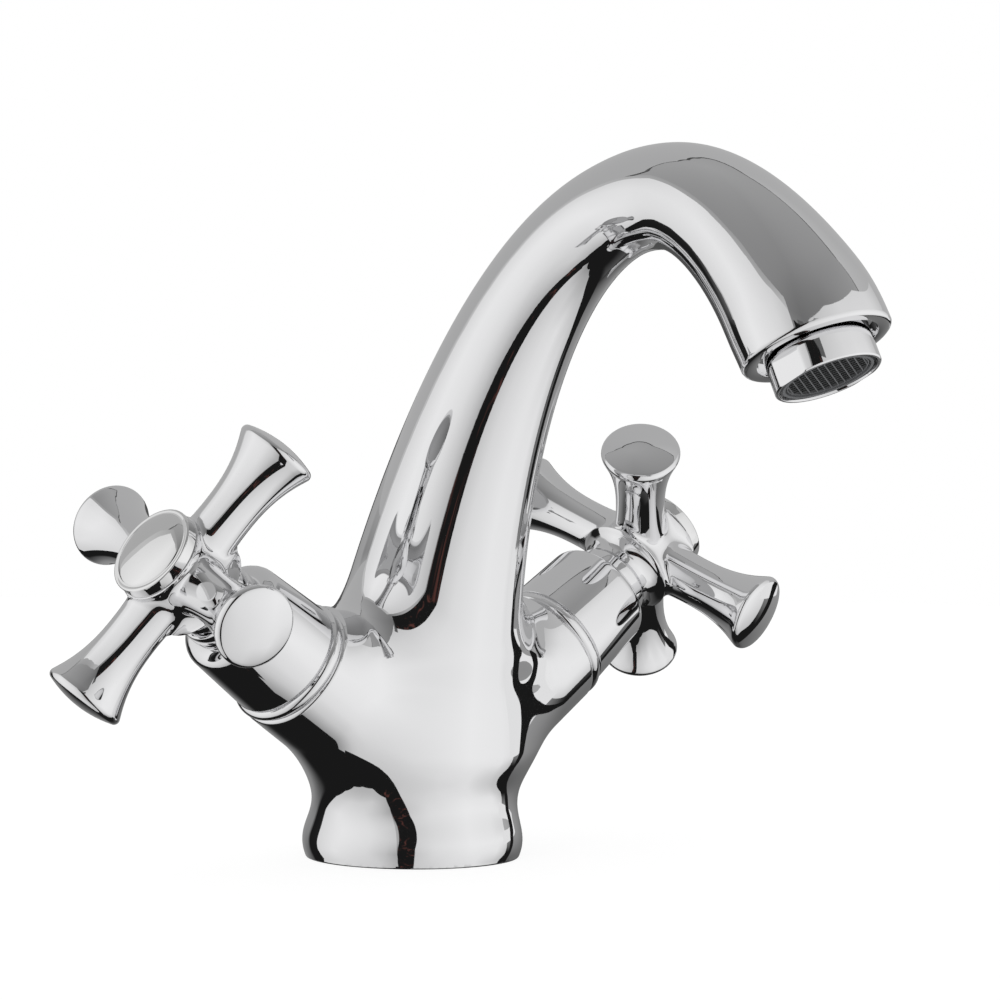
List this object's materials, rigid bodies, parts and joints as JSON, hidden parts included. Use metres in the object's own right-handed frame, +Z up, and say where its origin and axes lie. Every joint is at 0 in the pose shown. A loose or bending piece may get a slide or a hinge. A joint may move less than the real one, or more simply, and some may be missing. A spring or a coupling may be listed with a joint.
{
  "type": "basin mixer tap",
  "caption": "One-hole basin mixer tap in chromed brass with an arched fixed spout, aerator and cross handles on sloping ceramic valves.",
  "frame": {"origin": "centre of the foot's underside, on the basin's top, over the middle of the tap hole", "axes": "+Z up, spout towards -Y, hot handle at -X and cold handle at +X"},
  "size_m": [0.197, 0.174, 0.165],
  "materials": {
    "chromed_casting": "polished and chrome plated brass casting",
    "chromed_turning": "turned brass, polished and chrome plated",
    "chromed_handle": "polished and chrome plated brass casting",
    "chromed_cap": "pressed and chrome plated cap, plain",
    "plated_screw": "zinc plated steel",
    "bare_brass": "turned brass, bare",
    "spring_bronze": "bronze spring strip",
    "white_ceramic": "ground alumina ceramic",
    "black_rubber": "moulded nitrile rubber",
    "grey_moulding": "moulded acetal",
    "grey_mesh": "moulded acetal mesh"
  },
  "bodies": {
    "tap_frame": {"tap_body": "chromed_casting", "base_seal": "black_rubber", "hot_sleeve": "chromed_turning", "hot_valve_body": "bare_brass", "hot_flange_seal": "black_rubber", "hot_fixed_disc": "white_ceramic", "hot_seat_seal": "black_rubber", "cold_sleeve": "chromed_turning", "cold_valve_body": "bare_brass", "cold_flange_seal": "black_rubber", "cold_fixed_disc": "white_ceramic", "cold_seat_seal": "black_rubber", "aerator_housing": "chromed_turning", "aerator_insert": "grey_moulding", "aerator_mesh": "grey_mesh", "aerator_washer": "black_rubber"},
    "hot_control": {"hot_handle": "chromed_handle", "hot_cap": "chromed_cap", "hot_handle_screw": "plated_screw", "hot_spindle": "bare_brass", "hot_spindle_clip": "spring_bronze", "hot_spindle_seals": "black_rubber", "hot_moving_disc": "white_ceramic"},
    "cold_control": {"cold_handle": "chromed_handle", "cold_cap": "chromed_cap", "cold_handle_screw": "plated_screw", "cold_spindle": "bare_brass", "cold_spindle_clip": "spring_bronze", "cold_spindle_seals": "black_rubber", "cold_moving_disc": "white_ceramic"}
  },
  "joints": [
    {"name": "hot_turn", "type": "hinge", "parent": "tap_frame", "child": "hot_control", "pos_m": [-0.07279, -0.0026, 0.06893], "axis": [-0.831, 0, 0.5563], "range_deg": [0, 180]},
    {"name": "cold_turn", "type": "hinge", "parent": "tap_frame", "child": "cold_control", "pos_m": [0.07279, -0.0026, 0.06893], "axis": [0.831, 0, 0.5563], "range_deg": [0, 180]}
  ]
}
